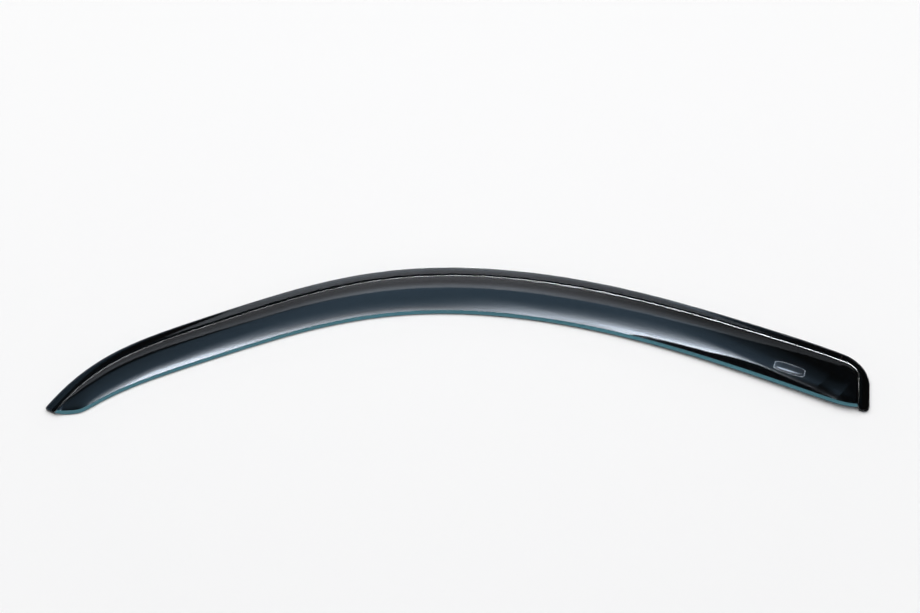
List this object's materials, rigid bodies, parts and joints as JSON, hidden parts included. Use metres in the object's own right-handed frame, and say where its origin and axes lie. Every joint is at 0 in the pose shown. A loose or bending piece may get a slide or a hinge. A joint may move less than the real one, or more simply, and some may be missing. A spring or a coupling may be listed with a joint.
{
  "type": "window rain deflector",
  "caption": "Arched tinted acrylic rain deflector for a car's front side window, with a bonding flange, a cambered blade and a closed rear end.",
  "frame": {"origin": "middle of the outline in plan, on the plane of the release liner's outer face", "axes": "+X along the deflector from its front tip to its rear end, +Y towards the roof, +Z away from the door"},
  "size_m": [0.9366, 0.2258, 0.0128],
  "materials": {
    "acrylic": "polished, smoke tinted",
    "foam_tape": "closed-cell foam, matt",
    "release_liner": "thin film, satin",
    "badge_plate": "dark domed plate with a silver outline"
  },
  "bodies": {
    "root": {"visor": "acrylic", "tape_top": "foam_tape", "tape_rear": "foam_tape", "liner_top": "release_liner", "liner_rear": "release_liner", "badge": "badge_plate"}
  },
  "joints": []
}
